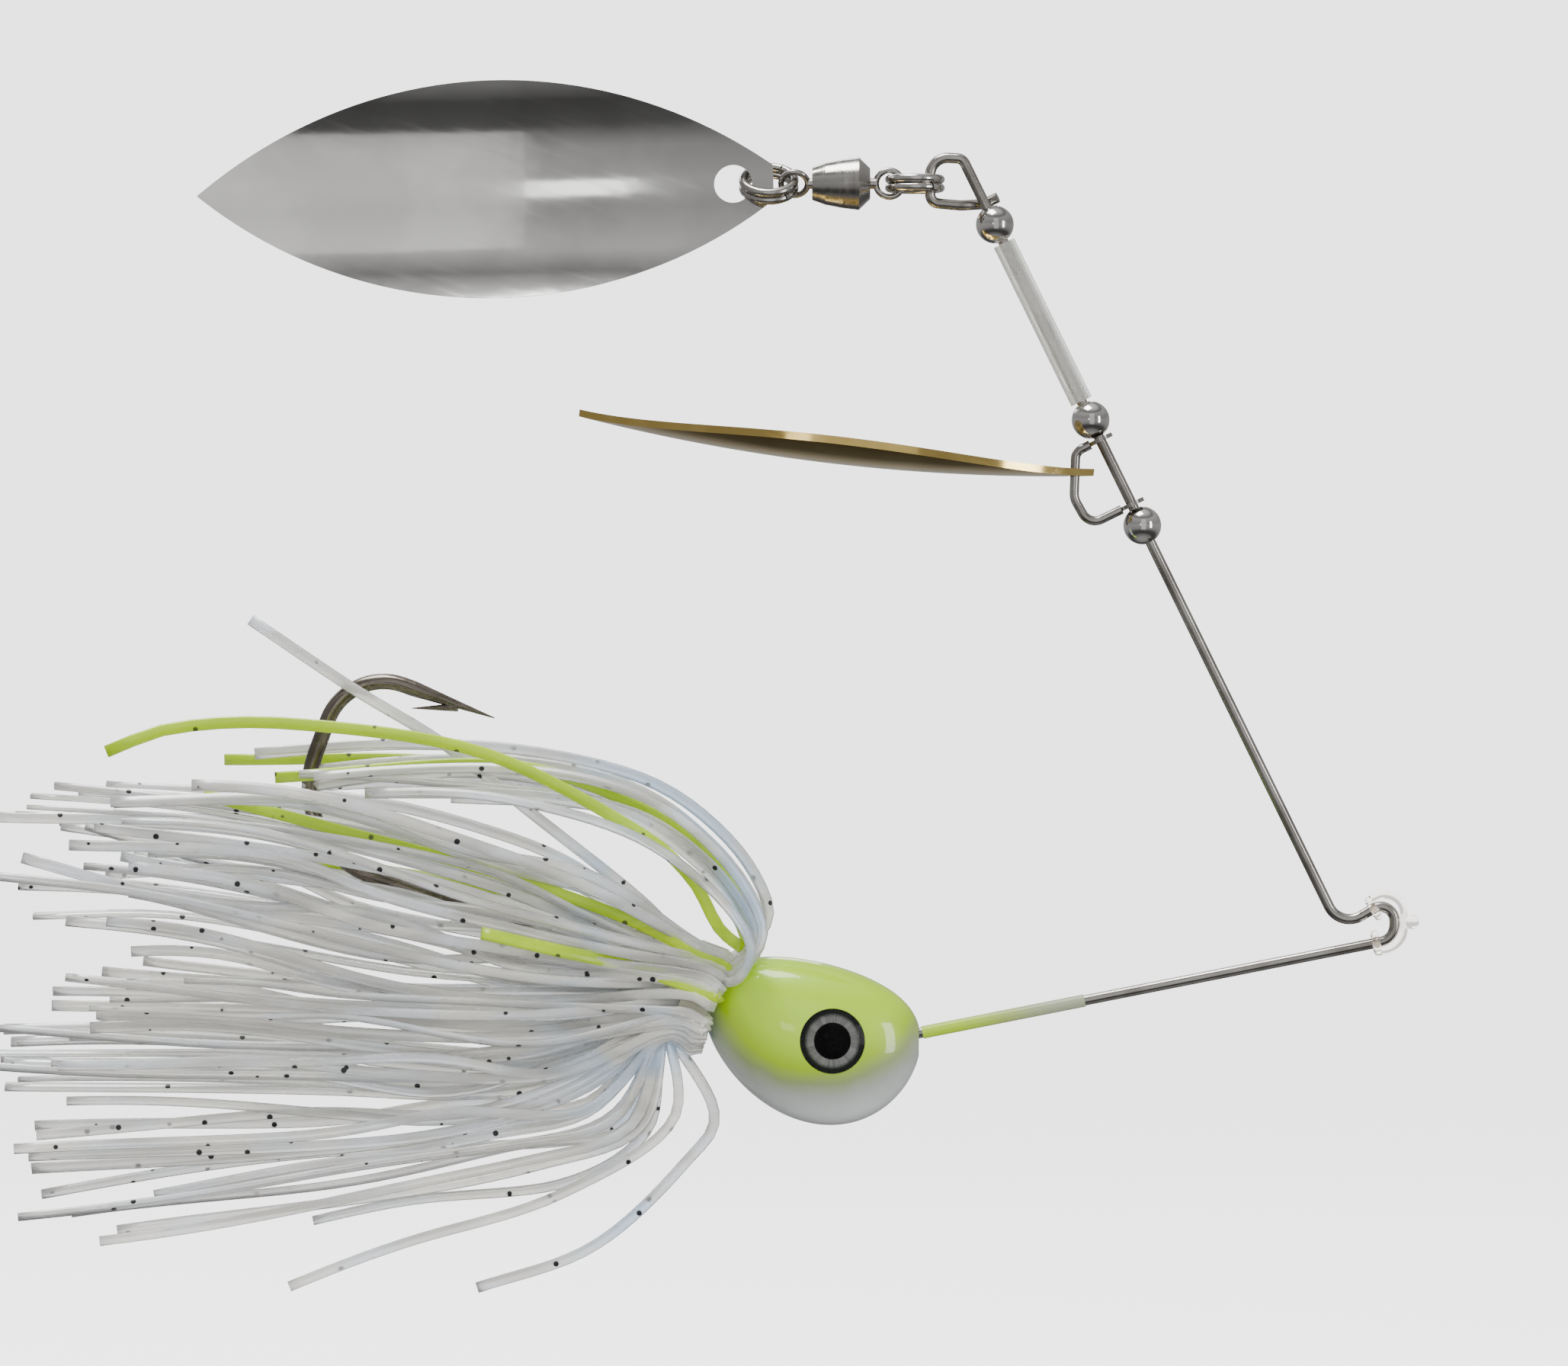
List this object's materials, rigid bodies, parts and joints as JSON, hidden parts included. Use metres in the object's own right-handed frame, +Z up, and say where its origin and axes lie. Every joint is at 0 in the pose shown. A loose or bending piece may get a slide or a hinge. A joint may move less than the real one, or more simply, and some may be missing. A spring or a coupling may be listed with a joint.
{
  "type": "spinnerbait",
  "caption": "Fishing spinnerbait: bent wire frame with a weighted fish head, hook and fringed skirt below, and willow-leaf spinner blades on a clevis and a ball-bearing swivel above.",
  "frame": {"origin": "inside the wire bend where the line is tied", "axes": "+X ahead, the way the lure is pulled; +Z up, towards the blades; +Y to the lure's left, across the wire frame's plane"},
  "size_m": [0.1188, 0.0236, 0.1031],
  "materials": {
    "frame_wire": "satin",
    "painted_lead": "gloss",
    "hook_steel": "polished",
    "eye_foil": "polished",
    "eye_lens": "polished",
    "sleeve_paint": "gloss",
    "band_rubber": "satin",
    "skirt_pearl": "satin",
    "skirt_chartreuse": "satin",
    "clear_elastic": "gloss",
    "bead_nickel": "polished",
    "tube_plastic": "gloss",
    "clevis_nickel": "polished",
    "gold_plate": "polished",
    "ring_steel": "polished",
    "swivel_nickel": "polished",
    "ball_steel": "polished",
    "nickel_plate": "polished"
  },
  "bodies": {
    "frame": {"wire_frame": "frame_wire", "head": "painted_lead", "hook": "hook_steel", "eye_foil_left": "eye_foil", "eye_foil_right": "eye_foil", "eye_lens_left": "eye_lens", "eye_lens_right": "eye_lens", "wire_paint_sleeve": "sleeve_paint", "spacer_tube": "tube_plastic", "skirt_band": "band_rubber", "skirt_trailing_upper": "skirt_pearl", "skirt_trailing_side": "skirt_pearl", "skirt_trailing_lower": "skirt_pearl", "skirt_umbrella_pearl": "skirt_pearl", "skirt_umbrella_chartreuse": "skirt_chartreuse", "line_keeper_band": "clear_elastic"},
    "bottom_bead": {"bead_bottom": "bead_nickel"},
    "middle_bead": {"bead_middle": "bead_nickel"},
    "top_bead": {"bead_top": "bead_nickel"},
    "clevis": {"clevis": "clevis_nickel"},
    "small_blade": {"small_blade": "gold_plate"},
    "rear_ring": {"rear_split_ring": "ring_steel"},
    "rear_stem": {"swivel_rear_stem": "swivel_nickel"},
    "barrel": {"swivel_barrel": "swivel_nickel", "swivel_cap": "swivel_nickel", "swivel_rear_balls": "ball_steel", "swivel_front_balls": "ball_steel"},
    "front_stem": {"swivel_front_stem": "swivel_nickel"},
    "front_ring": {"front_split_ring": "ring_steel"},
    "large_blade": {"large_blade": "nickel_plate"}
  },
  "joints": [
    {"name": "bead_bottom_spin", "type": "hinge", "parent": "frame", "child": "bottom_bead", "pos_m": [-0.02036, 0, 0.03335], "axis": [-0.4399, 0, 0.898], "continuous": true},
    {"name": "bead_middle_spin", "type": "hinge", "parent": "frame", "child": "middle_bead", "pos_m": [-0.02471, 0, 0.04222], "axis": [-0.4399, 0, 0.898], "continuous": true},
    {"name": "bead_top_spin", "type": "hinge", "parent": "frame", "child": "top_bead", "pos_m": [-0.03276, 0, 0.05867], "axis": [-0.4399, 0, 0.898], "continuous": true},
    {"name": "clevis_spin", "type": "hinge", "parent": "frame", "child": "clevis", "pos_m": [-0.02255, 0, 0.03782], "axis": [-0.4399, 0, 0.898], "continuous": true},
    {"name": "small_blade_swing", "type": "hinge", "parent": "clevis", "child": "small_blade", "pos_m": [-0.02602, 0, 0.03791], "axis": [0, 1, 0], "range_deg": [-25, 10]},
    {"name": "rear_ring_swing", "type": "hinge", "parent": "frame", "child": "rear_ring", "pos_m": [-0.0382, 0, 0.0621], "axis": [0, 0, 1], "range_deg": [-75, 75]},
    {"name": "swivel_swing", "type": "hinge", "parent": "rear_ring", "child": "rear_stem", "pos_m": [-0.04164, 0, 0.0621], "axis": [0, 1, 0], "range_deg": [-12, 55]},
    {"name": "barrel_spin", "type": "hinge", "parent": "rear_stem", "child": "barrel", "pos_m": [-0.045, 0, 0.0621], "axis": [1, 0, 0], "continuous": true},
    {"name": "front_stem_spin", "type": "hinge", "parent": "barrel", "child": "front_stem", "pos_m": [-0.047, 0, 0.0621], "axis": [1, 0, 0], "continuous": true},
    {"name": "front_ring_swing", "type": "hinge", "parent": "front_stem", "child": "front_ring", "pos_m": [-0.04963, 0, 0.0621], "axis": [0, 0.829, 0.5592], "range_deg": [-30, 30]},
    {"name": "large_blade_swing", "type": "hinge", "parent": "front_ring", "child": "large_blade", "pos_m": [-0.05393, 0, 0.0621], "axis": [0, 0.829, 0.5592], "range_deg": [-28, 28]}
  ]
}
